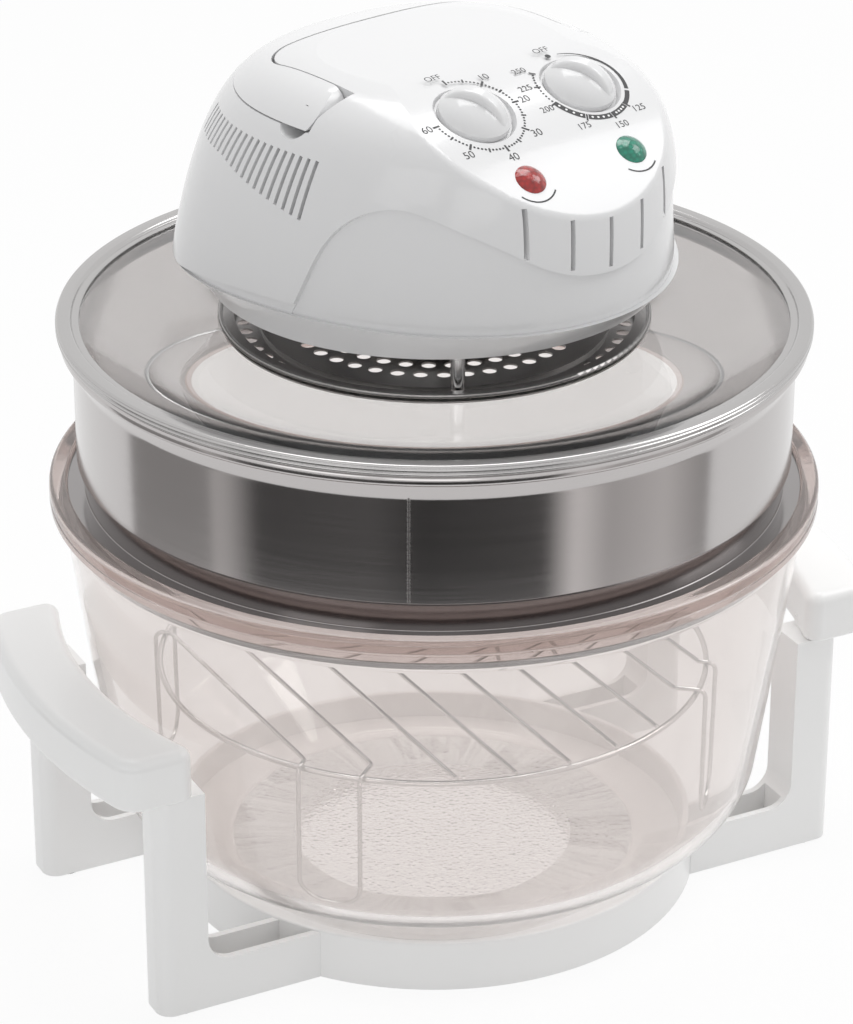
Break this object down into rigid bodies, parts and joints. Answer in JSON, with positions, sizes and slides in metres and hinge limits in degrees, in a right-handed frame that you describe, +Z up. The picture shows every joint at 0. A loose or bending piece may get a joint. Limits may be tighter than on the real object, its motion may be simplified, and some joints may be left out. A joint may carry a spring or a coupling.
{
  "type": "halogen oven",
  "caption": "Round benchtop halogen oven: tinted glass bowl in a stand with side grips, steel extension ring, glass lid, domed heater head with dials and a folding carrying handle.",
  "frame": {"origin": "on the bench, under the axis of the bowl", "axes": "+Z up, the carrying grips lie on +X and -X, the control panel faces -Y, turned 12.3 degrees towards +X"},
  "size_m": [0.381, 0.33, 0.387],
  "materials": {
    "stand_white": "moulded, satin gloss",
    "head_white": "moulded, gloss",
    "handle_white": "moulded, gloss",
    "knob_white": "moulded, gloss",
    "bowl_glass": "smoke-tinted, clear",
    "lid_glass": "clear, tempered",
    "rubber": "matte",
    "ring_steel": "polished stainless",
    "band_steel": "rolled, polished",
    "guard_steel": "punched, dark polished",
    "wire_chrome": "plated wire",
    "post_chrome": "plated",
    "fixing_steel": "zinc plated",
    "reflector_metal": "bright",
    "fan_metal": "plain",
    "motor_steel": "plain",
    "lamp_glass": "clear quartz",
    "ceramic_white": "unglazed",
    "insulation": "pressed fibre",
    "switch_black": "moulded",
    "terminal_plastic": "moulded",
    "red_lens": "translucent",
    "green_lens": "translucent",
    "gland_plastic": "moulded"
  },
  "bodies": {
    "stand": {"stand_ring": "stand_white", "leg_right_back": "stand_white", "leg_right_front": "stand_white", "leg_left_back": "stand_white", "leg_left_front": "stand_white", "leg_screws": "fixing_steel", "foot_pads": "rubber", "grip_right": "stand_white", "grip_left": "stand_white"},
    "bowl": {"glass_bowl": "bowl_glass"},
    "rack": {"rack_ring": "wire_chrome", "rack_bars": "wire_chrome", "rack_loop_left": "wire_chrome", "rack_loop_right": "wire_chrome"},
    "extender": {"extension_ring": "ring_steel"},
    "handle": {"carry_handle": "handle_white"},
    "plunger": {"safety_plunger": "switch_black"},
    "timer": {"timer_knob": "knob_white", "timer_shaft": "fixing_steel"},
    "thermostat": {"thermostat_knob": "knob_white", "thermostat_shaft": "fixing_steel"},
    "fans": {"hot_air_fan": "fan_metal", "cooling_fan": "fan_metal", "motor_shaft": "fixing_steel"},
    "lid": {"lid_glass": "lid_glass", "lid_band": "band_steel", "vent_guard": "guard_steel", "clamp_ring": "fixing_steel", "head_posts": "post_chrome", "lower_cover": "head_white", "upper_cover": "head_white", "cover_screws": "fixing_steel", "pivot_pins": "fixing_steel", "safety_switch": "switch_black", "timer_body": "motor_steel", "thermostat_body": "ceramic_white", "power_lens": "red_lens", "heat_lens": "green_lens", "power_lamp_holder": "terminal_plastic", "heat_lamp_holder": "terminal_plastic", "reflector": "reflector_metal", "insulation_pad": "insulation", "halogen_tube": "lamp_glass", "lamp_caps": "ceramic_white", "lamp_clips": "fixing_steel", "motor": "motor_steel", "motor_plate": "fixing_steel", "motor_pillars": "fixing_steel", "terminal_block": "terminal_plastic", "thermal_cutout": "ceramic_white", "cord_gland": "gland_plastic"}
  },
  "joints": [
    {"name": "bowl_lift", "type": "slide", "parent": "stand", "child": "bowl", "axis": [0, 0, 1], "range_m": [0, 0.15]},
    {"name": "rack_lift", "type": "slide", "parent": "bowl", "child": "rack", "axis": [0, 0, 1], "range_m": [0, 0.14]},
    {"name": "extender_lift", "type": "slide", "parent": "bowl", "child": "extender", "axis": [0, 0, 1], "range_m": [0, 0.1]},
    {"name": "lid_lift", "type": "slide", "parent": "extender", "child": "lid", "axis": [0, 0, 1], "range_m": [0, 0.2]},
    {"name": "handle_fold", "type": "hinge", "parent": "lid", "child": "handle", "pos_m": [0.0017, -0.00782, 0.3728], "axis": [0.977, 0.213, 0], "range_deg": [0, 90]},
    {"name": "switch_press", "type": "slide", "parent": "lid", "child": "plunger", "axis": [0, 0, 1], "range_m": [0, 0.002]},
    {"name": "timer_turn", "type": "hinge", "parent": "lid", "child": "timer", "pos_m": [-0.01486, -0.0626, 0.37573], "axis": [-0.0836, 0.3835, -0.9197], "range_deg": [0, 295]},
    {"name": "thermostat_turn", "type": "hinge", "parent": "lid", "child": "thermostat", "pos_m": [0.03957, -0.05074, 0.37573], "axis": [-0.0836, 0.3835, -0.9197], "range_deg": [0, 290]},
    {"name": "fan_spin", "type": "hinge", "parent": "lid", "child": "fans", "pos_m": [0, 0, 0.3], "axis": [0, 0, 1], "continuous": true}
  ],
  "couplings": [
    {"joint": "switch_press", "follows": "handle_fold", "m_per_rad": 0.001272}
  ]
}
